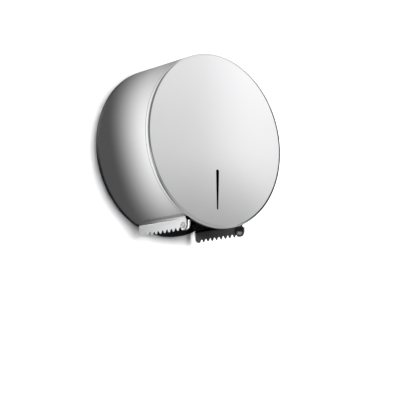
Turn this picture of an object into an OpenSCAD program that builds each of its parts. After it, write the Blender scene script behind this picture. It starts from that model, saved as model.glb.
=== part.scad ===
// Jumbo toilet roll dispenser: a polished steel drum on a black wall plate, with a
// serrated tear blade bent down at each side of the paper mouth and a round cover
// that drops forward on two hinge screws through the blades.
//
// Every sub-part is drawn in drum coordinates: x to the right, y up and z the depth,
// measured from the wall. on_wall() stands that frame upright, with the wall at Y = 0
// and the cover towards -Y. The origin is the drum's centre line at the wall.

/* [Drum] */
// Diameter of the drum, the wall plate and the cover
drum_d = 270; // [250:1:310]
// Depth from the wall to the face of the cover
total_depth = 128; // [120:1:150]
// Thickness of the steel sheet of the drum and the cover
sheet_t = 1; // [0.8:0.1:1.4]
// Width of the drum's inward flange against the wall plate
flange_w = 11; // [10:0.5:16]

/* [Wall plate] */
// Depth of the black rim that shows behind the drum
rim_depth = 6; // [5:0.5:10]
// Wall thickness of the moulded plate
plate_t = 2.5; // [2:0.1:3.5]
// Distance between wall screws, across and up
wall_pitch = 140; // [110:1:150]
// Diameter of the wall screw holes
wall_hole_d = 6.5; // [4.5:0.1:8]
// Diameter of the pad round each wall screw hole
wall_pad_d = 22; // [16:1:28]
// Number of radial ribs on the back of the plate
rib_count = 12; // [8:1:16]

/* [Paper mouth] */
// Width of the mouth, over the outer faces of the two tear blades
mouth_w = 115; // [100:1:120]
// Bend radius between the drum and a blade
bend_r = 3.8; // [1.5:0.1:5]
// How far the blade tips reach below the lowest line of the drum
blade_reach = 6.8; // [5:0.1:10]
// Gap between the wall plate and the rear edge of a blade
blade_rear_gap = 3.5; // [3:0.5:10]
// Distance from the cover's face back to the front edge of a blade
blade_set_back = 5.5; // [3:0.1:7]

/* [Teeth] */
// Distance from one tooth to the next
tooth_pitch = 10.3; // [8.5:0.1:13]
// Depth of the gaps between the teeth
tooth_depth = 5; // [4:0.1:6]
// Radius of a tooth's tip
tooth_tip_r = 1.7; // [1.2:0.1:2]
// Radius at the top of a gap between two teeth
tooth_gap_r = 1.9; // [1.4:0.1:2.2]
// Corner radius of the blade's rear lobe
rear_lobe_r = 9.5; // [6:0.5:11]

/* [Cover] */
// Depth of the cover's turned back edge
cover_lip = 6; // [5:0.5:12]
// Outer radius of the cover's edge
cover_edge_r = 2.8; // [1.6:0.1:3.5]
// Seam between the cover and the drum
seam_gap = 0.5; // [0.3:0.1:1]
// Clearance between the cover's edge and the stepped front of the drum
step_gap = 0.6; // [0.4:0.1:1.2]
// Height of the sight slot
slot_h = 61.5; // [40:0.5:80]
// Distance from the centre down to the top of the sight slot
slot_drop = 45; // [30:1:50]
// Width of the sight slot at the top
slot_top_w = 5.8; // [4:0.1:8]
// Width of the sight slot at the bottom
slot_bottom_w = 2.8; // [2:0.1:4]

/* [Cover hinge] */
// Diameter of the hinge screws' shoulder
pin_d = 6; // [5:0.1:7]
// Distance from the cover's face back to the hinge line
pin_set_back = 13; // [12:0.1:15]
// Height of the hinge line above the lowest line of the drum
pin_rise = 0.5; // [0:0.1:2]
// Diameter of the hinge screws' button head
pin_head_d = 9; // [8:0.1:10]
// Thickness of the hinge ears and of the lock keeper
bracket_t = 1.5; // [1.2:0.1:2]
// Thickness of the washer between a blade and its ear
hinge_washer_t = 0.8; // [0.5:0.1:1.5]
// Corner radius of a hinge ear
ear_r = 8; // [6:0.1:8.5]

/* [Spindle and hub] */
// Outer diameter of the roll hub
hub_d = 42; // [36:1:50]
// Height of the grip ribs on the hub
hub_rib_h = 1.5; // [1:0.1:2.5]
// Diameter of the disc behind the paper roll
hub_disc_d = 80; // [64:1:110]
// Diameter of the fixed post
post_d = 20; // [16:1:24]
// Wall thickness of the hub
hub_wall = 2; // [1.5:0.1:3]
// Diameter of the post's fixing flange
post_flange_d = 66; // [56:1:80]
// Distance from the cover's face back to the tip of the hub
hub_set_back = 16; // [14:0.5:24]

/* [Lock] */
// Distance from the cover's face back to the lock's axis
lock_set_back = 30; // [29:0.5:36]
// Diameter of the lock housing
lock_d = 18; // [16:0.5:20]
// Diameter of the turning barrel
barrel_d = 12; // [10:0.1:13]
// Length of the lock housing below its head
lock_l = 14; // [12:0.5:18]
// Length of the cam from the lock's axis
cam_l = 23; // [21:0.5:24]
// Width of the cam
cam_w = 10; // [8:0.5:11]
// Width of the keeper that the cam holds
keeper_w = 13; // [10:0.5:16]

/* [Hidden] */
$fn = 96;
running = 0.05; // radial clearance of a turning pin in its hole
snug = 0.3; // gap between pieces that pass or seat without touching
loose = 1.5; // room beside the cam and the keeper
over = 1; // how far a cutter passes a face
tuck = 0.02; // how far a tangent piece stays inside the piece that it runs into

steel = "gainsboro";
black_plastic = [0.1, 0.1, 0.1];

drum_r = drum_d / 2;
mouth_x = mouth_w / 2;
cover_back = total_depth - sheet_t;
shell_front = total_depth - cover_lip - seam_gap;
step_r = drum_r - sheet_t - step_gap;
buffer_t = 1.8;
step_front = cover_back - buffer_t - snug;

// The bend from the drum into a blade, and its angle from straight down
bend_y = -sqrt(pow(drum_r + bend_r, 2) - pow(mouth_x + bend_r, 2));
mouth_a = atan2(mouth_x + bend_r, -bend_y);

// The blade's outline, in depth and height
tip_y = -drum_r - blade_reach;
blade_rear = rim_depth + blade_rear_gap;
blade_front = total_depth - blade_set_back;
notch_drop = 1.5;
blade_notch_y = bend_y - notch_drop;
pin_z = total_depth - pin_set_back;
pin_y = -drum_r + pin_rise;
front_lobe_r = pin_y - tip_y;

// A tooth's side is the line that touches both the tip's and the gap's round
tip_c = tip_y + tooth_tip_r;
gap_c = tip_y + tooth_depth - tooth_gap_r;
side_a = acos((tooth_tip_r + tooth_gap_r) / norm([tooth_pitch / 2, gap_c - tip_c]))
    - atan2(gap_c - tip_c, tooth_pitch / 2);
teeth_start = blade_rear + rear_lobe_r + tooth_tip_r;
teeth_end = blade_front - front_lobe_r - tooth_tip_r;
gap_count = floor((teeth_end - teeth_start) / tooth_pitch);
first_gap = (teeth_start + teeth_end - (gap_count - 1) * tooth_pitch) / 2;

// The hinge, from a blade's inner face towards the middle
blade_in = mouth_x - sheet_t;
ear_out = blade_in - hinge_washer_t - 2 * running;
ear_in = ear_out - bracket_t;
nut_out = ear_in - 4 * running;
nut_t = 4;
nut_af = 8;
pin_thread_d = 5;
pin_socket_af = 3;
hinge_washer_w = 3;
ear_rear = pin_z - 7;
ear_flange_w = 15;
ear_h = 37;
ear_lift = 0.4;
ear_step = 3;
ear_slope_h = 13;
ear_neck = ear_rear + 9;
ear_corner = 1.5;
ear_top_y = ear_h - drum_r;
ear_flange_y = ear_top_y - 20;
ear_lobe_y = 7.8 - drum_r;
bracket_bend_r = bracket_t + 0.5;
notch_w = 11;
notch_out = mouth_x + bend_r;
step_a = asin((notch_out + sheet_t) / (step_r - sheet_t));

// Screws
screw_d = 4;
screw_head_d = 7.5;
screw_head_h = 2.6;
boss_d = 12;
post_boss_d = 9;
rib_t = 2;
centring_h = 4;
band_screw_r = drum_r - (flange_w + 3 * sheet_t) / 2;
band_screw_a = [-38, 0, 45, 75, 105, 135, 180, 218];

// The spindle and hub, in depth
post_flange_t = 4;
post_base = rim_depth + post_flange_t;
collar_h = 3;
hub_rear = post_base + collar_h + snug;
hub_front = total_depth - hub_set_back;
hub_disc_t = 2.5;
hub_washer_t = 1.5;
post_front = hub_front - 6;
post_screw_r = post_flange_d / 2 - 6;
post_bore_d = 12;
sleeve_d = post_d + 2 * hub_wall + 2 * running;
sleeve_front = post_front - snug;
land_l = 12;
cap_skirt_h = 5;
cap_t = 2;
hub_screw_d = 5;
hub_screw_head_d = 9.5;
hub_screw_head_h = 3.2;

// The lock, from the drum's crown downwards
lock_z = total_depth - lock_set_back;
lock_head_d = lock_d + 5;
lock_head_h = 2.4;
lock_nut_af = lock_d + 4;
lock_nut_t = 3.5;
lock_nut_top = sqrt(pow(drum_r - sheet_t, 2) - pow(lock_nut_af / cos(30) / 2, 2)) - drum_r - running;
lock_face_t = 1.2;
shank_w = 7;
cam_t = 2;
cam_top = -lock_l - snug;
cam_bottom = cam_top - cam_t;

// The keeper passes beside the housing and hooks behind the turned cam
keeper_in = lock_d / 2 + loose + 0.5;
keeper_top = drum_r + cam_top + loose + bracket_t;
keeper_rear = lock_z - cam_w / 2 - loose - bracket_t;
keeper_hook = 9;
keeper_flange_h = 22;

buffer_w = 6;
buffer_a = [-30, 40, 140, 210];

module on_wall() {
    rotate([90, 0, 0]) children();
}

// A ring from radius r1 out to r2, from depth z1 to z2
module ring(r1, r2, z1, z2) {
    translate([0, 0, z1]) difference() {
        cylinder(r = r2, h = z2 - z1);
        translate([0, 0, -over]) cylinder(r = r1, h = z2 - z1 + 2 * over);
    }
}

// Copies at each angle, counted from straight right
module at_angles(angles, r) {
    for (a = angles) {
        rotate([0, 0, a]) translate([r, 0, 0]) children();
    }
}

// Copies at the four wall screws
module at_wall_screws() {
    for (sx = [-1, 1]) {
        for (sy = [-1, 1]) {
            translate([sx * wall_pitch / 2, sy * wall_pitch / 2, 0]) children();
        }
    }
}

// Copies for the right side, and mirrored for the left
module both_sides() {
    children();
    mirror([1, 0, 0]) children();
}

// An upright sheet: an outline in depth and height, from x = x1 to x2
module upright(x1, x2) {
    translate([x2, 0, 0]) rotate([0, -90, 0]) linear_extrude(x2 - x1) children();
}

// A pan head with a cross recess, its seat at depth 0 and its shank towards the wall
module pan_screw(d, head_d, head_h, length) {
    difference() {
        union() {
            cylinder(d = head_d, h = head_h * 0.45);
            translate([0, 0, head_h * 0.45])
                cylinder(d1 = head_d, d2 = head_d * 0.6, h = head_h * 0.55);
            translate([0, 0, -length]) cylinder(d = d, h = length + head_h / 2);
        }
        translate([0, 0, head_h * 0.5]) {
            translate([-head_d / 4, -head_d / 14, 0]) cube([head_d / 2, head_d / 7, head_h]);
            translate([-head_d / 14, -head_d / 4, 0]) cube([head_d / 7, head_d / 2, head_h]);
        }
    }
}

// Moulded wall plate: web, rim, ribs and pads, with a ring that centres the drum
module back_plate() {
    web = rim_depth - plate_t;
    ring_r = drum_r - sheet_t - flange_w - snug;
    color(black_plastic) on_wall() difference() {
        union() {
            translate([0, 0, web]) cylinder(r = drum_r, h = plate_t);
            ring(drum_r - plate_t, drum_r, 0, web + over);
            ring(ring_r - rib_t, ring_r, rim_depth - over, rim_depth + centring_h);
            ring(post_flange_d / 2 - rib_t, post_flange_d / 2, 0.5, web + over);
            for (i = [0 : rib_count - 1]) {
                rotate([0, 0, (i + 0.5) * 360 / rib_count])
                    translate([(post_flange_d - rib_t) / 2, -rib_t / 2, 0.5])
                    cube([drum_r - plate_t - post_flange_d / 2 + rib_t, rib_t, web]);
            }
            at_wall_screws() cylinder(d = wall_pad_d, h = web + over);
            at_angles(band_screw_a, band_screw_r) cylinder(d = boss_d, h = web + over);
            at_angles([45 : 90 : 315], post_screw_r) cylinder(d = post_boss_d, h = web + over);
        }
        at_wall_screws() translate([0, 0, -over])
            cylinder(d = wall_hole_d, h = rim_depth + 2 * over);
        at_angles(band_screw_a, band_screw_r) translate([0, 0, 1])
            cylinder(d = screw_d + 0.1, h = rim_depth);
        at_angles([45 : 90 : 315], post_screw_r) translate([0, 0, 1])
            cylinder(d = screw_d + 0.1, h = rim_depth);
    }
}

// The round part of the drum: wall, flange to the wall plate and stepped front
module drum_shell() {
    rotate([0, 0, mouth_a - 90]) rotate_extrude(angle = 360 - 2 * mouth_a)
        polygon([
            [drum_r - flange_w, rim_depth],
            [drum_r, rim_depth],
            [drum_r, shell_front],
            [drum_r - sheet_t, shell_front],
            [drum_r - sheet_t, rim_depth + sheet_t],
            [drum_r - flange_w, rim_depth + sheet_t]
        ]);
    rotate([0, 0, step_a - 90]) rotate_extrude(angle = 360 - 2 * step_a)
        polygon([
            [drum_r - sheet_t / 2, shell_front],
            [drum_r - sheet_t / 2, shell_front - sheet_t],
            [step_r - sheet_t, shell_front - sheet_t],
            [step_r - sheet_t, step_front],
            [step_r, step_front],
            [step_r, shell_front]
        ]);
}

// The bend at the right end of the shell, as the sheet's section. It ends a little
// inside the shell and the blade, and lies a hair inside their faces.
module bend_section() {
    overlap_a = 4;
    reach = 3 * bend_r;
    translate([mouth_x + bend_r, bend_y]) intersection() {
        difference() {
            circle(bend_r + sheet_t - tuck);
            circle(bend_r + tuck);
        }
        polygon([
            [0, 0],
            reach * [-cos(overlap_a), -sin(overlap_a)],
            reach * [-1, 1],
            reach * [-sin(mouth_a - overlap_a), cos(mouth_a - overlap_a)]
        ]);
    }
}

// Points round an arc, from one angle to another
function arc(centre, r, from, to, steps = 8) =
    [for (i = [0 : steps]) let (a = from + (to - from) * i / steps) centre + r * [cos(a), sin(a)]];

// The serrated edge between the lobes: a tooth's tip, then a gap, over and over
function serration() = [
    for (i = [0 : gap_count - 1]) each concat(
        i == 0 ? [] : arc([tip_at(i), tip_c], tooth_tip_r, 180 + side_a, 360 - side_a),
        arc([tip_at(i) + tooth_pitch / 2, gap_c], tooth_gap_r, 180 - side_a, side_a)
    )
];

// Depth of a tooth's tip, counted from the rear lobe
function tip_at(i) = first_gap + (i - 0.5) * tooth_pitch;

// A blade's outline, in depth and height
module blade_outline() {
    rear_c = [blade_rear + rear_lobe_r, tip_y + rear_lobe_r];
    front_c = [blade_front - front_lobe_r, tip_y + front_lobe_r];
    polygon(concat(
        [[shell_front, bend_y], [blade_rear, bend_y]],
        arc(rear_c, rear_lobe_r, 180, 270, 12),
        arc([tip_at(0), tip_c], tooth_tip_r, 270, 360 - side_a),
        serration(),
        arc([tip_at(gap_count), tip_c], tooth_tip_r, 180 + side_a, 270),
        arc(front_c, front_lobe_r, 270, 360, 12),
        [[blade_front, blade_notch_y], [shell_front, blade_notch_y]]
    ));
}

// Steel drum, rolled from one sheet whose ends are bent down as the tear blades
module drum_band() {
    color(steel) on_wall() difference() {
        union() {
            drum_shell();
            both_sides() {
                translate([0, 0, blade_rear]) linear_extrude(shell_front - blade_rear)
                    bend_section();
                upright(blade_in, mouth_x) blade_outline();
            }
        }
        at_angles(band_screw_a, band_screw_r)
            cylinder(d = screw_d + 0.4, h = rim_depth + sheet_t + over);
        at_lock() translate([0, 0, -lock_l]) cylinder(d = lock_d + 0.2, h = 2 * lock_l);
        translate([-mouth_w, pin_y, pin_z]) rotate([0, 90, 0])
            cylinder(d = pin_d + 2 * running, h = 2 * mouth_w);
    }
}

module band_screws() {
    color("silver") on_wall() at_angles(band_screw_a, band_screw_r)
        translate([0, 0, rim_depth + sheet_t])
        pan_screw(screw_d, screw_head_d, screw_head_h, rim_depth - 1);
}

// Fixed post that carries the hub, hollow behind and with a screw boss in its tip
module spindle_post() {
    color(black_plastic) on_wall() difference() {
        union() {
            translate([0, 0, rim_depth]) cylinder(d = post_flange_d, h = post_flange_t);
            translate([0, 0, post_base]) cylinder(d = post_d + 8, h = collar_h);
            translate([0, 0, rim_depth]) cylinder(d = post_d, h = post_front - rim_depth);
        }
        translate([0, 0, rim_depth - over])
            cylinder(d = post_bore_d, h = post_front - rim_depth - 20);
        translate([0, 0, post_front - 16]) cylinder(d = hub_screw_d + 0.1, h = 20);
        at_angles([45 : 90 : 315], post_screw_r) translate([0, 0, rim_depth - over])
            cylinder(d = screw_d + 0.4, h = post_flange_t + 2 * over);
    }
}

module spindle_screws() {
    color("silver") on_wall() at_angles([45 : 90 : 315], post_screw_r)
        translate([0, 0, post_base])
        pan_screw(screw_d, screw_head_d, screw_head_h, post_base - 2);
}

// Turning hub: outer barrel with grip ribs, inner sleeve, webs and the rear disc
module roll_hub() {
    color([0.16, 0.16, 0.17]) on_wall() {
        difference() {
            union() {
                translate([0, 0, hub_rear]) cylinder(d = hub_disc_d, h = hub_disc_t);
                translate([0, 0, hub_rear]) cylinder(d = hub_d, h = hub_front - hub_rear - 2);
                translate([0, 0, hub_front - 2]) cylinder(d1 = hub_d, d2 = hub_d - 3, h = 2);
            }
            translate([0, 0, hub_rear - over])
                cylinder(d = hub_d - 2 * hub_wall, h = hub_front - hub_rear + 2 * over);
        }
        difference() {
            union() {
                translate([0, 0, hub_rear]) cylinder(d = sleeve_d, h = sleeve_front - hub_rear);
                translate([0, 0, hub_rear]) cylinder(d = hub_d - hub_wall, h = hub_disc_t);
                for (a = [30 : 60 : 330]) {
                    rotate([0, 0, a]) translate([post_d / 2 + hub_wall / 2, -0.9, hub_rear])
                        cube([(hub_d - post_d) / 2 - hub_wall, 1.8,
                              hub_front - cap_skirt_h - 2 - hub_rear]);
                }
            }
            translate([0, 0, hub_rear - over])
                cylinder(d = post_d + 2 * running, h = hub_front);
            translate([0, 0, hub_rear + land_l])
                cylinder(d = post_d + 1, h = sleeve_front - hub_rear - 2 * land_l);
        }
        for (a = [0 : 60 : 300]) {
            rotate([0, 0, a]) translate([hub_d / 2 - 0.5, -1, hub_rear])
                cube([hub_rib_h + 0.5, 2, hub_front - hub_rear - 8]);
        }
    }
}

// Snap-in cap that closes the hub's open end
module hub_cap() {
    skirt_r = hub_d / 2 - hub_wall - 0.1;
    color(black_plastic) on_wall() difference() {
        union() {
            translate([0, 0, hub_front]) cylinder(d1 = hub_d - 3, d2 = hub_d - 8, h = cap_t);
            translate([0, 0, hub_front - cap_skirt_h]) cylinder(r = skirt_r, h = cap_skirt_h);
        }
        translate([0, 0, hub_front - cap_skirt_h - over])
            cylinder(r = skirt_r - 1.5, h = cap_skirt_h + over);
        translate([0, 0, hub_front + cap_t - 0.6]) cylinder(d = hub_d - 20, h = 1);
    }
}

module hub_washer() {
    color("silver") on_wall()
        ring(hub_screw_d / 2 + 0.1, post_d / 2 + 3, post_front, post_front + hub_washer_t);
}

module hub_screw() {
    color("silver") on_wall() translate([0, 0, post_front + hub_washer_t])
        pan_screw(hub_screw_d, hub_screw_head_d, hub_screw_head_h, 15);
}

// Button head shoulder screw through a blade and an ear, on the right side
module hinge_screw() {
    head_h = 2.6;
    translate([0, pin_y, pin_z]) rotate([0, 90, 0]) difference() {
        union() {
            translate([0, 0, nut_out]) cylinder(d = pin_d, h = mouth_x - nut_out + 0.5);
            translate([0, 0, nut_out - nut_t - 0.6]) cylinder(d = pin_thread_d, h = nut_t + 1);
            translate([0, 0, mouth_x]) cylinder(d = pin_head_d, h = 1);
            translate([0, 0, mouth_x + 1])
                cylinder(d1 = pin_head_d, d2 = pin_head_d * 0.6, h = head_h - 1);
        }
        translate([0, 0, mouth_x + head_h - 1.5])
            cylinder(d = pin_socket_af / cos(30), h = 2, $fn = 6);
    }
}

module left_hinge_screw() {
    color("silver") on_wall() mirror([1, 0, 0]) hinge_screw();
}

module right_hinge_screw() {
    color("silver") on_wall() hinge_screw();
}

module hinge_washers() {
    color("whitesmoke") on_wall() both_sides()
        translate([0, pin_y, pin_z]) rotate([0, 90, 0])
        ring(pin_d / 2 + running, pin_d / 2 + hinge_washer_w,
             ear_out + running, blade_in - running);
}

module hinge_nuts() {
    color("silver") on_wall() both_sides()
        translate([0, pin_y, pin_z]) rotate([0, 90, 0]) difference() {
            translate([0, 0, nut_out - nut_t]) cylinder(d = nut_af / cos(30), h = nut_t, $fn = 6);
            translate([0, 0, nut_out - nut_t - over])
                cylinder(d = pin_thread_d + 2 * running, h = nut_t + 2 * over);
        }
}

// Stands at the drum's crown, with z up along the lock's axis and -y towards the cover
module at_lock() {
    translate([0, drum_r, lock_z]) rotate([-90, 0, 0]) children();
}

module lock_housing() {
    face_r = barrel_d / 2 + 1 + running;
    color("silver") on_wall() at_lock() difference() {
        union() {
            translate([0, 0, -lock_l]) cylinder(d = lock_d, h = lock_l + lock_head_h / 2);
            cylinder(d = lock_head_d, h = lock_head_h - 0.8);
            translate([0, 0, lock_head_h - 0.8])
                cylinder(d1 = lock_head_d, d2 = lock_head_d - 1.6, h = 0.8);
        }
        translate([0, 0, -lock_l - over])
            cylinder(d = barrel_d + 2 * running, h = lock_l + lock_head_h + 2 * over);
        translate([0, 0, lock_head_h - lock_face_t - 0.5]) cylinder(r = face_r, h = 2 * lock_face_t);
    }
}

module lock_nut() {
    color("silver") on_wall() at_lock() difference() {
        translate([0, 0, lock_nut_top - lock_nut_t])
            cylinder(d = lock_nut_af / cos(30), h = lock_nut_t, $fn = 6);
        translate([0, 0, lock_nut_top - lock_nut_t - over])
            cylinder(d = lock_d + 2 * running, h = lock_nut_t + 2 * over);
    }
}

// Barrel with a face that rests in the housing, the keyway and a square shank for the cam
module lock_barrel() {
    top = lock_head_h - 0.4;
    color("darkgray") on_wall() at_lock() difference() {
        union() {
            translate([0, 0, cam_top]) cylinder(d = barrel_d, h = top - cam_top);
            translate([0, 0, top - lock_face_t]) cylinder(d = barrel_d + 2, h = lock_face_t);
            translate([-shank_w / 2, -shank_w / 2, cam_bottom + 0.1])
                cube([shank_w, shank_w, cam_t]);
        }
        translate([-0.9, -3.5, top - 8]) cube([1.8, 7, 9]);
        translate([0, 0, cam_bottom - over]) cylinder(d = screw_d + 0.1, h = 9);
    }
}

// Cam, turned towards the cover when the lock is open
module lock_cam() {
    color("silver") on_wall() at_lock() translate([0, 0, cam_bottom]) difference() {
        linear_extrude(cam_t) {
            circle(d = barrel_d + 3);
            translate([-cam_w / 2, cam_w / 2 - cam_l]) square([cam_w, cam_l - cam_w / 2]);
            translate([0, cam_w / 2 - cam_l]) circle(d = cam_w);
        }
        translate([-shank_w / 2 - 0.1, -shank_w / 2 - 0.1, -over])
            cube([shank_w + 0.2, shank_w + 0.2, cam_t + 2 * over]);
    }
}

module cam_screw() {
    color("silver") on_wall() at_lock() translate([0, 0, cam_bottom]) rotate([180, 0, 0])
        pan_screw(screw_d, shank_w + 3, screw_head_h, 8);
}

// The cover's section: face, rounded edge and turned back lip
module cover_section() {
    translate([0, cover_back]) square([drum_r - cover_edge_r, sheet_t]);
    translate([drum_r - sheet_t, total_depth - cover_lip])
        square([sheet_t, cover_lip - cover_edge_r]);
    translate([drum_r - cover_edge_r, total_depth - cover_edge_r]) intersection() {
        difference() {
            circle(cover_edge_r);
            circle(cover_edge_r - sheet_t);
        }
        square(cover_edge_r);
    }
}

// Teardrop outline of the sight slot
module sight_slot() {
    top_r = slot_top_w / 2;
    bottom_r = slot_bottom_w / 2;
    top_y = -slot_drop - top_r;
    bottom_y = -slot_drop - slot_h + bottom_r;
    lean = asin((top_r - bottom_r) / (top_y - bottom_y));
    side = [cos(lean), -sin(lean)];
    translate([0, top_y]) circle(top_r);
    translate([0, bottom_y]) circle(bottom_r);
    polygon([
        [0, top_y] + (top_r - tuck) * [-side[0], side[1]],
        [0, top_y] + (top_r - tuck) * side,
        [0, bottom_y] + (bottom_r - tuck) * side,
        [0, bottom_y] + (bottom_r - tuck) * [-side[0], side[1]]
    ]);
}

// Pressed cover, notched at its edge where the ears and the blades pass
module front_cover() {
    color(steel) on_wall() difference() {
        rotate_extrude() cover_section();
        translate([0, 0, cover_back - over]) linear_extrude(sheet_t + 2 * over) sight_slot();
        both_sides() translate([notch_out - notch_w, -drum_r, total_depth - cover_lip - over])
            cube([notch_w, drum_r / 3, cover_lip + over - cover_edge_r]);
    }
}

// Outline of a hinge ear, in depth and height: a lobe whose front is flush with the
// face, with a window above it that clears the cover's edge
module ear_outline() {
    ear_c = pin_y + ear_lift;
    window_top = ear_flange_y - sheet_t;
    flange_z = cover_back - bracket_bend_r;
    difference() {
        union() {
            translate([total_depth - ear_r, ear_c]) circle(ear_r);
            translate([ear_rear + ear_r, ear_c]) circle(ear_r);
            translate([ear_rear + ear_r, ear_c - ear_r])
                square([total_depth - ear_rear - 2 * ear_r, ear_r]);
            polygon([
                [ear_rear, ear_c],
                [total_depth, ear_c],
                [total_depth, ear_lobe_y + over],
                [flange_z, ear_lobe_y + over],
                [flange_z, ear_top_y],
                [flange_z - ear_step, ear_top_y],
                [ear_rear, ear_top_y - ear_slope_h]
            ]);
        }
        polygon([
            [ear_neck, ear_lobe_y],
            [total_depth - ear_corner, ear_lobe_y],
            [total_depth + over, ear_lobe_y - ear_corner - over],
            [total_depth + over, window_top],
            [ear_neck + ear_step, window_top],
            [ear_neck, window_top - ear_step]
        ]);
    }
}

// Plan of the ear's bend and weld flange, in width and depth
module ear_flange() {
    bend_c = [ear_out - bracket_bend_r, cover_back - bracket_bend_r];
    polygon(concat(
        [[ear_out, bend_c[1] - over]],
        arc(bend_c, bracket_bend_r, 0, 90),
        [[ear_out - ear_flange_w, cover_back],
         [ear_out - ear_flange_w, cover_back - bracket_t]],
        arc(bend_c, bracket_bend_r - bracket_t, 90, 0),
        [[ear_in, bend_c[1] - over]]
    ));
}

// Ear of the right hinge: a sheet through the cover's notch, bent to weld behind the
// cover
module hinge_ear() {
    difference() {
        union() {
            upright(ear_in, ear_out) ear_outline();
            translate([0, ear_flange_y, 0]) rotate([-90, 0, 0]) mirror([0, 1, 0])
                linear_extrude(ear_top_y - ear_flange_y) ear_flange();
        }
        translate([0, pin_y, pin_z]) rotate([0, 90, 0])
            cylinder(d = pin_d + 2 * running, h = mouth_w);
    }
}

module left_hinge_ear() {
    color(steel) on_wall() mirror([1, 0, 0]) hinge_ear();
}

module right_hinge_ear() {
    color(steel) on_wall() hinge_ear();
}

// Keeper behind the cover's top, bent from one strip: weld flange, tongue and the hook
// behind the cam
module lock_keeper() {
    front_c = [cover_back - bracket_bend_r, keeper_top - bracket_bend_r];
    rear_c = [keeper_rear + bracket_bend_r, keeper_top - bracket_bend_r];
    color(steel) on_wall() upright(-keeper_in - keeper_w, -keeper_in) polygon(concat(
        [[cover_back, keeper_top - keeper_flange_h]],
        arc(front_c, bracket_bend_r, 0, 90),
        arc(rear_c, bracket_bend_r, 90, 180),
        [[keeper_rear, keeper_top - keeper_hook],
         [keeper_rear + bracket_t, keeper_top - keeper_hook]],
        arc(rear_c, bracket_bend_r - bracket_t, 180, 90),
        arc(front_c, bracket_bend_r - bracket_t, 90, 0),
        [[cover_back - bracket_t, keeper_top - keeper_flange_h]]
    ));
}

// Rubber pads behind the cover that meet the drum's stepped front, with a corner
// cut off to clear the round of the cover's edge
module cover_buffers() {
    color([0.2, 0.2, 0.2]) on_wall() for (a = buffer_a) {
        rotate([0, 0, a - 3]) rotate_extrude(angle = 6)
            translate([step_r, cover_back]) polygon([
                [-buffer_w, 0],
                [-buffer_w, -buffer_t],
                [0, -buffer_t],
                [0, -sheet_t],
                [-sheet_t, 0]
            ]);
    }
}

back_plate();
drum_band();
band_screws();
spindle_post();
spindle_screws();
roll_hub();
hub_cap();
hub_washer();
hub_screw();
left_hinge_screw();
right_hinge_screw();
hinge_washers();
hinge_nuts();
lock_housing();
lock_nut();
lock_barrel();
lock_cam();
cam_screw();
front_cover();
left_hinge_ear();
right_hinge_ear();
lock_keeper();
cover_buffers();
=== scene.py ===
import math

import bpy
from mathutils import Matrix, Vector


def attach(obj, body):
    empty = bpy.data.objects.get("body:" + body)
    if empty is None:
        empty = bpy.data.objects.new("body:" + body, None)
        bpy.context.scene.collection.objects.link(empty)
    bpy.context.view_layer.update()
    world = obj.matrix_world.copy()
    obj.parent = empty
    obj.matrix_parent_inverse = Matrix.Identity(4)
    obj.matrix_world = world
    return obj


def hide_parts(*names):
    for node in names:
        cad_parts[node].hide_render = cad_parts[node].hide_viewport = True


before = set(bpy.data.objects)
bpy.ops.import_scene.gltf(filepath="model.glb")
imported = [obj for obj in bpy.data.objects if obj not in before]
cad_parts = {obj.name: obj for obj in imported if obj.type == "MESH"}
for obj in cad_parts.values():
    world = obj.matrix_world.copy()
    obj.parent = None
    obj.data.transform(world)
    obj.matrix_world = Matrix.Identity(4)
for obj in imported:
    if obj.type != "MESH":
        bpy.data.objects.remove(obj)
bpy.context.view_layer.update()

mm = 0.001
print("frame loaded:", len(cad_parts), "nodes")


# Shader maths: one socket of a tree, so that plain arithmetic adds the nodes
class Wire:
    def __init__(self, tree, socket=None):
        self.tree = tree
        self.socket = socket

    def node(self, kind, settings=None, inputs=None, output=0):
        made = self.tree.nodes.new(kind)
        for name, value in (settings or {}).items():
            setattr(made, name, value)
        for name, value in (inputs or {}).items():
            plug(self.tree, value, made.inputs[name])
        return Wire(self.tree, made.outputs[output])

    def maths(self, operation, *values):
        return self.node("ShaderNodeMath", {"operation": operation}, dict(enumerate(values)))

    def combine(self, operation, first, second):
        if any(isinstance(w, Wire) and w.socket.type in ("VECTOR", "RGBA") for w in (first, second)):
            return self.node("ShaderNodeVectorMath", {"operation": operation}, {0: first, 1: second})
        return self.maths(operation, first, second)

    def __add__(self, other):
        return self.combine("ADD", self, other)

    def __radd__(self, other):
        return self.combine("ADD", other, self)

    def __sub__(self, other):
        return self.combine("SUBTRACT", self, other)

    def __rsub__(self, other):
        return self.combine("SUBTRACT", other, self)

    def __mul__(self, other):
        return self.combine("MULTIPLY", self, other)

    def __pow__(self, other):
        return self.combine("POWER", self, other)

    def __abs__(self):
        return self.maths("ABSOLUTE", self)

    def least(self, other):
        return self.maths("MINIMUM", self, other)

    def most(self, other):
        return self.maths("MAXIMUM", self, other)

    def smooth(self, low, high, lowValue=0.0, highValue=1.0):
        return self.node("ShaderNodeMapRange", {"interpolation_type": "SMOOTHSTEP"}, {
            "Value": self, "From Min": low, "From Max": high, "To Min": lowValue, "To Max": highValue})

    def axes(self):
        split = self.tree.nodes.new("ShaderNodeSeparateXYZ")
        plug(self.tree, self, split.inputs[0])
        return [Wire(self.tree, out) for out in split.outputs]


def plug(tree, value, socket):
    if isinstance(value, Wire):
        tree.links.new(value.socket, socket)
    elif hasattr(value, "__len__") and len(value) == 3 and socket.type == "RGBA":
        socket.default_value = (*value, 1)
    else:
        socket.default_value = value


def hypot(first, second):
    return (first * first + second * second) ** 0.5


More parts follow.
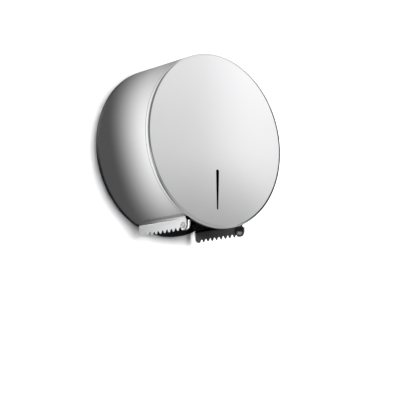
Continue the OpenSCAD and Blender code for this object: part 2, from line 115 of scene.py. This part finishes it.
# A new material with its tree, its shader and the place of each point at rest, in millimetres
def newMaterial(name, uniform):
    made = bpy.data.materials.new(name)
    made.use_nodes = True
    tree = made.node_tree
    shader = tree.nodes["Principled BSDF"]
    for socket, value in uniform.items():
        plug(tree, value, shader.inputs[socket])
    place = Wire(tree).node("ShaderNodeTexCoord", output="Object")
    return made, tree, shader, place * (1 / mm, 1 / mm, 1 / mm)


def noise(wire, scale, detail=2, stretch=(1, 1, 1)):
    return wire.node("ShaderNodeTexNoise", None, {
        "Vector": wire * stretch, "Scale": scale, "Detail": detail})


def bands(wire, scale, detail=1):
    return wire.node("ShaderNodeTexNoise", {"noise_dimensions": "1D"}, {
        "W": wire, "Scale": scale, "Detail": detail})


# The Mix node has one row of sockets for each kind of data: 6, 7 and output 2 are the colours
def mixColour(tree, factor, first, second):
    return Wire(tree).node("ShaderNodeMix", {"data_type": "RGBA"}, {0: factor, 6: first, 7: second}, 2)


# A base colour that drifts between two strengths of one colour
def drift(tree, shader, factor, colour, darker, lighter=1.0):
    mixed = mixColour(tree, factor, [c * darker for c in colour], [c * lighter for c in colour])
    plug(tree, mixed, shader.inputs["Base Color"])


def roughen(tree, shader, height, depth):
    made = Wire(tree).node("ShaderNodeBump", None, {"Height": height, "Distance": depth, "Strength": 1.0})
    plug(tree, made, shader.inputs["Normal"])


# Polished sheet steel: near mirror outside, with faint wipe marks, duller as rolled inside, and
# satin on the tear blades. The bounds are millimetres: out from the middle, ahead and up.
polished = {
    "colour": (0.80, 0.80, 0.81), "darker": 0.985, "roughness": 0.10, "bladeRoughness": 0.36,
    "insideRoughness": 0.34, "wipe": (0.012, 3), "wipeEdge": (0.3, 0.7), "wipeShare": 0.05,
    "hair": (0.9, 2, (1, 0.05, 1)), "hairShare": 0.03, "grain": (2.5, 2, (1, 0.15, 1)),
    "grainDepth": 0.00004, "bladeInner": (56.2, 56.4), "bladeOuter": (57.6, 57.8),
    "bladeTop": (-125.5, -123.5), "drumInside": (134.0, 134.1), "drumFront": (-121.1, -121.0),
    "coverInside": (130.1, 130.2), "coverBack": (-127.5, -127.4),
}


def polishedSteel():
    made, tree, shader, place = newMaterial("polishedSteel", {"Metallic": 1.0})
    x, y, z = place.axes()
    wipe = noise(place, *polished["wipe"])
    hair = noise(place, *polished["hair"])
    drift(tree, shader, wipe.smooth(*polished["wipeEdge"]), polished["colour"], polished["darker"])
    onBlade = abs(x).smooth(*polished["bladeInner"]) * abs(x).smooth(*polished["bladeOuter"], 1, 0)
    blade = z.smooth(*polished["bladeTop"], 1, 0) * onBlade
    away = hypot(x, z)
    inDrum = away.smooth(*polished["drumInside"], 1, 0) * y.smooth(*polished["drumFront"])
    inCover = away.smooth(*polished["coverInside"], 1, 0) * y.smooth(*polished["coverBack"])
    rough = (polished["roughness"] + (wipe - 0.5) * polished["wipeShare"]
             + (hair - 0.5) * polished["hairShare"]
             + inDrum.most(inCover) * (polished["insideRoughness"] - polished["roughness"])
             + blade * (polished["bladeRoughness"] - polished["roughness"]))
    plug(tree, rough, shader.inputs["Roughness"])
    roughen(tree, shader, noise(place, *polished["grain"]) * blade, polished["grainDepth"])
    return made


bracket = {"colour": (0.72, 0.72, 0.73), "darker": 0.94, "roughness": 0.24, "cloud": (0.05, 3),
           "brushed": (1.5, 3, (1, 0.06, 1)), "brushedShare": 0.16, "brushedDepth": 0.00003}


def bracketSteel():
    made, tree, shader, place = newMaterial("bracketSteel", {"Metallic": 1.0})
    brushed = noise(place, *bracket["brushed"])
    drift(tree, shader, noise(place, *bracket["cloud"]), bracket["colour"], bracket["darker"])
    plug(tree, bracket["roughness"] + (brushed - 0.5) * bracket["brushedShare"],
         shader.inputs["Roughness"])
    roughen(tree, shader, brushed, bracket["brushedDepth"])
    return made


# Turned rings run around the hinge line, at this depth and height
hinge = {"colour": (0.70, 0.70, 0.71), "darker": 0.9, "roughness": 0.2, "cloud": 0.4, "rings": 3.0,
         "ringShare": 0.2, "lineDepth": 115, "lineHeight": -134.5}


def hingeSteel():
    made, tree, shader, place = newMaterial("hingeSteel", {"Metallic": 1.0})
    x, y, z = place.axes()
    turned = bands(hypot(y + hinge["lineDepth"], z - hinge["lineHeight"]), hinge["rings"])
    drift(tree, shader, noise(place, hinge["cloud"]), hinge["colour"], hinge["darker"])
    plug(tree, hinge["roughness"] + (turned - 0.5) * hinge["ringShare"], shader.inputs["Roughness"])
    return made


zinc = {"colour": (0.62, 0.64, 0.66), "darker": 0.82, "roughness": 0.34, "spangle": (0.8, 4),
        "spangleShare": 0.25, "spangleDepth": 0.00003}


def zincPlate():
    made, tree, shader, place = newMaterial("zincPlate", {"Metallic": 1.0})
    spangle = noise(place, *zinc["spangle"])
    drift(tree, shader, spangle, zinc["colour"], zinc["darker"])
    plug(tree, zinc["roughness"] + (spangle - 0.5) * zinc["spangleShare"], shader.inputs["Roughness"])
    roughen(tree, shader, spangle, zinc["spangleDepth"])
    return made


chrome = {"colour": (0.83, 0.83, 0.85), "darker": 0.95, "roughness": 0.06, "wear": (0.5, 4),
          "wearEdge": (0.55, 0.75), "wearShare": 0.1}


def lockChrome():
    made, tree, shader, place = newMaterial("lockChrome", {"Metallic": 1.0})
    wear = noise(place, *chrome["wear"])
    drift(tree, shader, wear, chrome["colour"], chrome["darker"])
    plug(tree, chrome["roughness"] + wear.smooth(*chrome["wearEdge"]) * chrome["wearShare"],
         shader.inputs["Roughness"])
    return made


plastics = {
    "blackPlastic": {"colour": (0.012, 0.012, 0.013), "roughness": 0.42, "grain": 1.6, "depth": 0.00005},
    "hubPlastic": {"colour": (0.030, 0.031, 0.033), "roughness": 0.33, "grain": 2.2, "depth": 0.00003},
    "nylon": {"colour": (0.76, 0.75, 0.70), "roughness": 0.45, "grain": 1.2, "depth": 0.00002},
    "bufferRubber": {"colour": (0.020, 0.020, 0.020), "roughness": 0.7, "grain": 2.8, "depth": 0.00006},
}
moulding = {"grainDetail": 3, "cloud": (0.03, 2), "darker": 0.8, "lighter": 1.2, "grainShare": 0.12,
            "cloudShare": 0.08}


def moulded(name):
    look = plastics[name]
    made, tree, shader, place = newMaterial(name, {"Metallic": 0.0})
    grain = noise(place, look["grain"], moulding["grainDetail"])
    cloud = noise(place, *moulding["cloud"])
    drift(tree, shader, cloud, look["colour"], moulding["darker"], moulding["lighter"])
    plug(tree, look["roughness"] + (grain - 0.5) * moulding["grainShare"]
         + (cloud - 0.5) * moulding["cloudShare"], shader.inputs["Roughness"])
    roughen(tree, shader, grain, look["depth"])
    return made


finishes = {
    "polished_steel": polishedSteel(),
    "bracket_steel": bracketSteel(),
    "hinge_steel": hingeSteel(),
    "zinc_screws": zincPlate(),
    "lock_chrome": lockChrome(),
    "black_plastic": moulded("blackPlastic"),
    "hub_plastic": moulded("hubPlastic"),
    "nylon": moulded("nylon"),
    "buffer_rubber": moulded("bufferRubber"),
}
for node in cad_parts.values():
    slotName = node.data.materials[0].name
    node.data.materials[0] = finishes[slotName]
print("finishes on", len(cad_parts), "nodes")


# The cover in one fine sheet: its turned edge, the notches in its lip and the sight slot, in
# millimetres. The notches run between two angles to each side of the lowest point.
cover = {"radius": 135, "face": 128, "sheet": 1.0, "roundIn": 4.6, "roundBack": 1.8, "lip": 6,
         "broken": 0.15, "brokenTurns": 3, "columns": 720, "turns": 20, "notches": (22, 27),
         "slotTop": -45, "slotBottom": -106.5, "topRadius": 2.9, "bottomRadius": 1.4, "slotSteps": 24}


# Points and normals round a bend, both as (radius, depth), from one angle to another
def bend(centre, across, back, start, end, steps, hollow=False):
    made = []
    for step in range(steps + 1):
        turn = math.radians(start + (end - start) * step / steps)
        way = (math.cos(turn) / across, math.sin(turn) / back)
        long = math.hypot(*way) * (-1 if hollow else 1)
        made.append(((centre[0] + across * math.cos(turn), centre[1] + back * math.sin(turn)),
                     (way[0] / long, way[1] / long)))
    return made


# The sheet's section from the face, round the edge and the lip's end, to the back of the face
def coverSection():
    across, deep, sheet, broken = (cover[name] for name in ("roundIn", "roundBack", "sheet", "broken"))
    centre = (cover["radius"] - across, cover["face"] - deep)
    lipEnd = cover["face"] - cover["lip"] + broken
    outer, inner = (cover["radius"] - broken, lipEnd), (cover["radius"] - sheet + broken, lipEnd)
    return (bend(centre, across, deep, 90, 0, cover["turns"])
            + bend(outer, broken, broken, 0, -90, cover["brokenTurns"])
            + bend(inner, broken, broken, -90, -180, cover["brokenTurns"])
            + bend(centre, across - sheet, deep - sheet, 0, 90, cover["turns"], True))


# The slot's outline from its top, by way of the left, with its normals
def slotOutline():
    top = cover["slotTop"] - cover["topRadius"]
    bottom = cover["slotBottom"] + cover["bottomRadius"]
    lean = math.degrees(math.asin((cover["topRadius"] - cover["bottomRadius"]) / (top - bottom)))
    made = []
    for start, end, radius, height in ((90, 180 + lean, cover["topRadius"], top),
                                       (180 + lean, 360 - lean, cover["bottomRadius"], bottom),
                                       (-lean, 90, cover["topRadius"], top)):
        for step in range(cover["slotSteps"]):
            turn = math.radians(start + (end - start) * step / cover["slotSteps"])
            made.append(((radius * math.cos(turn), height + radius * math.sin(turn)),
                         (math.cos(turn), math.sin(turn))))
    return made


def coverMesh():
    points, faces, normals = [], [], []

    def add(place):
        points.append((place[0] * mm, place[1] * mm, place[2] * mm))
        return len(points) - 1

    # A face turned to agree with its normals
    def face(corners, ways):
        a, b, c = (Vector(points[corners[k]]) for k in (0, len(corners) // 3, 2 * len(corners) // 3))
        if (b - a).cross(c - a).dot(Vector(ways[0])) < 0:
            corners, ways = corners[::-1], ways[::-1]
        faces.append(corners)
        normals.extend(ways)

    # A four-sided face between two loops, from one place on them to the next
    def quad(loops, ways, k, here, after):
        face([loops[k][here], loops[k][after], loops[k + 1][after], loops[k + 1][here]],
             [ways[k][here], ways[k][after], ways[k + 1][after], ways[k + 1][here]])

    # The section turned about the middle, from the top by way of the left
    section, count = coverSection(), cover["columns"]
    turns = [math.radians(90 + 360 * column / count) for column in range(count)]
    rings = [[add((p[0] * math.cos(t), -p[1], p[0] * math.sin(t))) for t in turns] for p, way in section]
    ways = [[(way[0] * math.cos(t), -way[1], way[0] * math.sin(t)) for t in turns] for p, way in section]
    low, high = (round(angle * count / 360) for angle in cover["notches"])
    bottom = count // 2
    notches = [(bottom + low, bottom + high), (bottom - high, bottom - low)]
    first, last = cover["turns"], len(section) - cover["turns"] - 1
    for k in range(len(section) - 1):
        inLip = first <= k < last
        for column in range(count):
            if not (inLip and any(start <= column < end for start, end in notches)):
                quad(rings, ways, k, column, (column + 1) % count)

    # The notches' front faces and their two sides
    for start, end in notches:
        for column in range(start, end):
            face([rings[first][column], rings[first][column + 1],
                  rings[last][column + 1], rings[last][column]], [(0, 1, 0)] * 4)
        for column, side in ((start, 1), (end, -1)):
            along = (-math.sin(turns[column]) * side, 0, math.cos(turns[column]) * side)
            face([rings[k][column] for k in range(first, last + 1)], [along] * (last - first + 1))

    # The slot's wall with its edges broken: how far out, how deep, and the normal's two shares
    outline, slant, broken = slotOutline(), math.sqrt(0.5), cover["broken"]
    front, rear = cover["face"], cover["face"] - cover["sheet"]
    steps = ((1, front, 0, 1), (1 - slant, front - broken * (1 - slant), slant, slant),
             (0, front - broken, 1, 0), (0, rear + broken, 1, 0),
             (1 - slant, rear + broken * (1 - slant), slant, -slant), (1, rear, 0, -1))
    loops = [[add((p[0] + way[0] * out * broken, -depth, p[1] + way[1] * out * broken))
              for p, way in outline] for out, depth, across, ahead in steps]
    sides = [[(-way[0] * across, -ahead, -way[1] * across) for p, way in outline]
             for out, depth, across, ahead in steps]
    for k in range(len(loops) - 1):
        for j in range(len(outline)):
            quad(loops, sides, k, j, (j + 1) % len(outline))

    # The flat face and its back, each in a left and a right half around the slot
    half = len(outline) // 2
    for ring, loop, ahead in ((rings[0], loops[0], -1), (rings[-1], loops[-1], 1)):
        left = [ring[column] for column in range(bottom + 1)] + [loop[j] for j in range(half, -1, -1)]
        right = [ring[column % count] for column in range(bottom, count + 1)]
        for corners in (left, right + [loop[0]] + loop[:half - 1:-1]):
            face(corners, [(0, ahead, 0)] * len(corners))

    mesh = bpy.data.meshes.new("coverSheet")
    mesh.from_pydata(points, [], faces)
    mesh.polygons.foreach_set("use_smooth", [True] * len(faces))
    mesh.normals_split_custom_set(normals)
    mesh.validate()
    return mesh


coverSheet = bpy.data.objects.new("coverSheet", coverMesh())
coverSheet.data.materials.append(finishes["polished_steel"])
bpy.context.scene.collection.objects.link(coverSheet)
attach(coverSheet, "cover")
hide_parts("front_cover")
print("cover sheet:", len(coverSheet.data.polygons), "faces")


# The camera, at the photograph's angle: yaw, pitch and roll in radians
view = {"place": (-1.18514, -1.46063, -0.39118), "yaw": 0.71194909, "pitch": 0.1662353,
        "roll": 0.00170783, "lens": 107.709, "sensor": 36}
forward = Vector((math.sin(view["yaw"]) * math.cos(view["pitch"]),
                  math.cos(view["yaw"]) * math.cos(view["pitch"]), math.sin(view["pitch"])))
level = Vector((math.cos(view["yaw"]), -math.sin(view["yaw"]), 0))
upward = level.cross(forward)
sideways = level * math.cos(view["roll"]) + upward * math.sin(view["roll"])
upward = sideways.cross(forward)
camera = bpy.data.objects.new("camera", bpy.data.cameras.new("camera"))
camera.data.lens = view["lens"]
camera.data.sensor_width = view["sensor"]
camera.matrix_world = Matrix.Translation(view["place"]) @ Matrix(
    (sideways, upward, -forward)).transposed().to_4x4()
bpy.context.scene.collection.objects.link(camera)
bpy.context.scene.camera = camera
bpy.context.scene.view_settings.view_transform = "Standard"


# The stage: pale wall and floor, and what the steel mirrors
stageLook = {"wallSize": 6, "wallGap": 0.0004, "glowGap": 0.0006, "floorSize": 12, "floorDrop": 1.1,
             "pale": (0.86, 0.86, 0.86), "darker": 0.985, "roughness": 0.8, "cloud": (0.004, 2),
             "upright": (math.pi / 2, 0, 0)}


def stagePlane(name, size, place, turn, material):
    half = size / 2
    mesh = bpy.data.meshes.new(name)
    mesh.from_pydata([(-half, -half, 0), (half, -half, 0), (half, half, 0), (-half, half, 0)], [],
                     [(0, 1, 2, 3)])
    made = bpy.data.objects.new(name, mesh)
    made.location = place
    made.rotation_euler = turn
    mesh.materials.append(material)
    bpy.context.scene.collection.objects.link(made)
    return made


def paleMaterial(name):
    made, tree, shader, place = newMaterial(name, {"Roughness": stageLook["roughness"]})
    drift(tree, shader, noise(place, *stageLook["cloud"]), stageLook["pale"], stageLook["darker"])
    return made, tree, shader


# The wall is there from its front alone, so that the dispenser's back can be looked at
def fromFront(tree, shader):
    behind = Wire(tree).node("ShaderNodeNewGeometry", output="Backfacing")
    clear = Wire(tree).node("ShaderNodeBsdfTransparent")
    return Wire(tree).node("ShaderNodeMixShader", None, {0: behind, 1: shader, 2: clear})


# The share of its light that a surface gives to paint and plastic, where steel gets all of it
def forPaint(tree, share):
    return 1 - Wire(tree).node("ShaderNodeLightPath", output="Diffuse Depth").least(1) * (1 - share)


def wallMaterial():
    made, tree, shader = paleMaterial("wallPaint")
    plug(tree, fromFront(tree, Wire(tree, shader.outputs[0])),
         tree.nodes["Material Output"].inputs["Surface"])
    return made


wall = stagePlane("wall", stageLook["wallSize"], (0, stageLook["wallGap"], 0), stageLook["upright"],
                  wallMaterial())
floor = stagePlane("floor", stageLook["floorSize"], (0, 0, -stageLook["floorDrop"]), (0, 0, 0),
                   paleMaterial("floorPaint")[0])
for surface in (wall, floor):
    surface.visible_glossy = False
    surface.visible_diffuse = False
wall.visible_shadow = False

# What the steel sees of the wall, a painted reflection: painted shade dark close to the drum, where its
# shade falls, paler further out, and dimmed far to the right and painted shade under the drum, in
# millimetres
wallGlow = {"dark": 0.077, "base": 0.291, "rise": 0.00268, "most": 0.95, "centreX": 50, "centreZ": -16,
            "shade": (111, 190), "farRight": (260, 420), "underSide": (-34, -8),
            "underTop": (-175, -108), "shaded": 0.12, "fade": 0.55, "gain": 1.25, "onPaint": 0.15}


def glowMaterial():
    made = bpy.data.materials.new("wallGlow")
    made.use_nodes = True
    tree = made.node_tree
    tree.nodes.remove(tree.nodes["Principled BSDF"])
    place = Wire(tree).node("ShaderNodeNewGeometry", output="Position") * (1 / mm, 1 / mm, 1 / mm)
    x, y, z = place.axes()
    away = hypot(abs(x) - wallGlow["centreX"], z - wallGlow["centreZ"])
    lit = (abs(x) * wallGlow["rise"] + wallGlow["base"]).least(wallGlow["most"])
    # Painted shade of the drum on the wall, as the steel mirrors it
    glow = wallGlow["dark"] + (lit - wallGlow["dark"]) * away.smooth(*wallGlow["shade"])
    # Painted shade on the wall under the drum, seen in the cover's lip
    under = x.smooth(*wallGlow["underSide"]) * z.smooth(*wallGlow["underTop"], 1, 0)
    dimmed = 1 - under.most(x.smooth(*wallGlow["farRight"])) * (1 - wallGlow["shaded"])
    # Weaker where one steel face sees the wall in another
    again = (Wire(tree).node("ShaderNodeLightPath", output="Glossy Depth") - 1).most(0).least(1)
    strength = glow * dimmed * wallGlow["gain"] * forPaint(tree, wallGlow["onPaint"])
    light = Wire(tree).node("ShaderNodeEmission", None, {
        "Strength": strength * (1 - again * wallGlow["fade"])})
    plug(tree, fromFront(tree, light), tree.nodes["Material Output"].inputs["Surface"])
    return made


glowCard = stagePlane("wallGlow", stageLook["wallSize"], (0, stageLook["glowGap"], 0),
                      stageLook["upright"], glowMaterial())
for way in ("camera", "diffuse", "shadow", "transmission", "volume_scatter"):
    setattr(glowCard, "visible_" + way, False)


# Light: a soft frontal key, and a room that is pale above and in one panel to the right
def softLight(name, place, target, size, watts, mirrored=False):
    made = bpy.data.objects.new(name, bpy.data.lights.new(name, "AREA"))
    made.data.shape = "DISK"
    made.data.size = size
    made.data.energy = watts
    made.location = place
    made.rotation_euler = (Vector(target) - Vector(place)).to_track_quat("-Z", "Y").to_euler()
    made.visible_glossy = mirrored
    bpy.context.scene.collection.objects.link(made)
    return made


# One key in four layers: how far each leans to the upper right and how wide it is, in degrees,
# and its share
key = {"away": 4.0, "watts": 170,
       "layers": ((1.1, 2.2, 0.12), (2.1, 4.0, 0.14), (3.6, 7.0, 0.22), (9.0, 15.0, 0.52))}
for number, (lean, spread, share) in enumerate(key["layers"]):
    off = key["away"] * math.tan(math.radians(lean)) * math.sqrt(0.5)
    softLight("key%d" % number, (off, -key["away"], off), (0, 0, 0),
              2 * key["away"] * math.tan(math.radians(spread)), key["watts"] * share)

# Lights that reach the named objects alone: place, target, size, watts, seen in steel or not,
# and the objects. The blade's light stands behind the wall on the left and is narrow enough to
# be seen in the satin blade alone.
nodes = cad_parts
satinParts = ("drum_band", "left_hinge_screw", "right_hinge_screw", "left_hinge_ear", "right_hinge_ear")
bladeSpread = 4.5
reaching = {
    "floorLight": ((0, 0, 9), (0, 0, -1), 40, 9500, False, [floor]),
    "wallFill": ((0, -4, 0.5), (0, 0, 0), 8, 42, False, [wall]),
    "rearLight": ((-1.6, 2.2, 1.4), (0, 0, 0), 1.6, 60, True, [nodes["back_plate"]]),
    "bladeLight": ((-0.99, 1.09, 0.09), (-0.0575, -0.065, -0.133), 0.12, 0.00095, True,
                   [nodes[name] for name in satinParts]),
}
for name, (place, target, size, watts, mirrored, reached) in reaching.items():
    light = softLight(name, place, target, size, watts, mirrored)
    light.light_linking.receiver_collection = bpy.data.collections.new(name + "Reach")
    for lit in reached:
        light.light_linking.receiver_collection.objects.link(lit)
bpy.data.objects["bladeLight"].data.spread = math.radians(bladeSpread)


# The room by direction: azimuth from straight in front, to the right, and elevation, in degrees
room = {"panelFrom": (25, 32), "panelTo": (46, 48.5), "panelFoot": (-9, -4), "panelEdge": 41.7,
        "panelBend": 2.0, "bendUp": (8.5, 12), "panelSoft": 1.3, "panelLift": 0.29,
        "low": 0.33, "lowUp": (7, 12.5), "middle": 0.64, "middleUp": (11, 20), "high": 0.82,
        "dark": 0.02, "pale": 0.9, "steel": 0.8, "onPaint": 0.10, "seen": 1.0}
haze = {"from": (-44, -34), "to": (26, 34), "foot": (-12, -4), "top": (46, 60), "level": 0.2}
paleLeft = {"side": (-50, -14), "foot": (-45, -25)}
ceiling = {"side": (14, 30), "foot": (18, 30), "high": (48, 75)}
floorRight = {"from": (0, 10), "to": (85, 105), "bend": (42, 60), "near": -2, "far": -5, "soft": 5,
              "level": 0.47}
# Bright openings that the disc and the drum mirror from the front, the right and the left:
# azimuth, elevation, half widths, softness and level
openings = ((0, -3, 5, 5, 3, 0.75), (95, -6, 16, 7, 6, 0.6), (-45, -25, 6, 6, 3, 0.8))


def roomWorld():
    world = bpy.data.worlds.new("room")
    world.use_nodes = True
    tree = world.node_tree
    x, y, z = Wire(tree).node("ShaderNodeTexCoord", output="Generated").axes()
    azimuth = Wire(tree).maths("ARCTAN2", x, y * -1) * (180 / math.pi)
    elevation = Wire(tree).maths("ARCSINE", z) * (180 / math.pi)

    floorEdge = azimuth.smooth(*floorRight["bend"], floorRight["near"], floorRight["far"])
    onFloor = azimuth.smooth(*floorRight["from"]) * azimuth.smooth(*floorRight["to"], 1, 0)
    onFloor = onFloor * (elevation - floorEdge).smooth(-floorRight["soft"], 0, 1, 0)
    inHaze = azimuth.smooth(*haze["from"]) * azimuth.smooth(*haze["to"], 1, 0)
    inHaze = inHaze * elevation.smooth(*haze["foot"]) * elevation.smooth(*haze["top"], 1, 0)
    lit = room["dark"] + onFloor * floorRight["level"] + inHaze * haze["level"]

    base = elevation.smooth(*room["lowUp"], room["low"], room["middle"])
    base = base + elevation.smooth(*room["middleUp"], 0, room["high"] - room["middle"])
    edge = elevation.smooth(*room["bendUp"], room["panelBend"], 0) + room["panelEdge"]
    lift = (azimuth - edge).smooth(-room["panelSoft"], room["panelSoft"], 0, room["panelLift"])
    inPanel = azimuth.smooth(*room["panelFrom"]) * azimuth.smooth(*room["panelTo"], 1, 0)
    inPanel = inPanel * elevation.smooth(*room["panelFoot"])
    lit = lit * (1 - inPanel) + (base + lift) * (1 / room["steel"]) * inPanel

    for side, height, wide, tall, soft, bright in openings:
        across = abs(azimuth - side).smooth(wide, wide + soft, 1, 0)
        lit = lit + across * abs(elevation - height).smooth(tall, tall + soft, bright, 0)
    overhead = (azimuth.smooth(*ceiling["side"]) * elevation.smooth(*ceiling["foot"])).most(
        elevation.smooth(*ceiling["high"]))
    pale = (azimuth.smooth(*paleLeft["side"], 1, 0) * elevation.smooth(*paleLeft["foot"])).most(overhead)
    lit = lit * (1 - pale) + pale * room["pale"]

    # The camera sees white where the steel sees the room
    seen = Wire(tree).node("ShaderNodeLightPath", output="Is Camera Ray")
    background = tree.nodes["Background"]
    plug(tree, (1, 1, 1), background.inputs["Color"])
    plug(tree, lit * forPaint(tree, room["onPaint"]) * (1 - seen) + seen * room["seen"],
         background.inputs["Strength"])
    bpy.context.scene.world = world


roomWorld()
print("stage and light set")
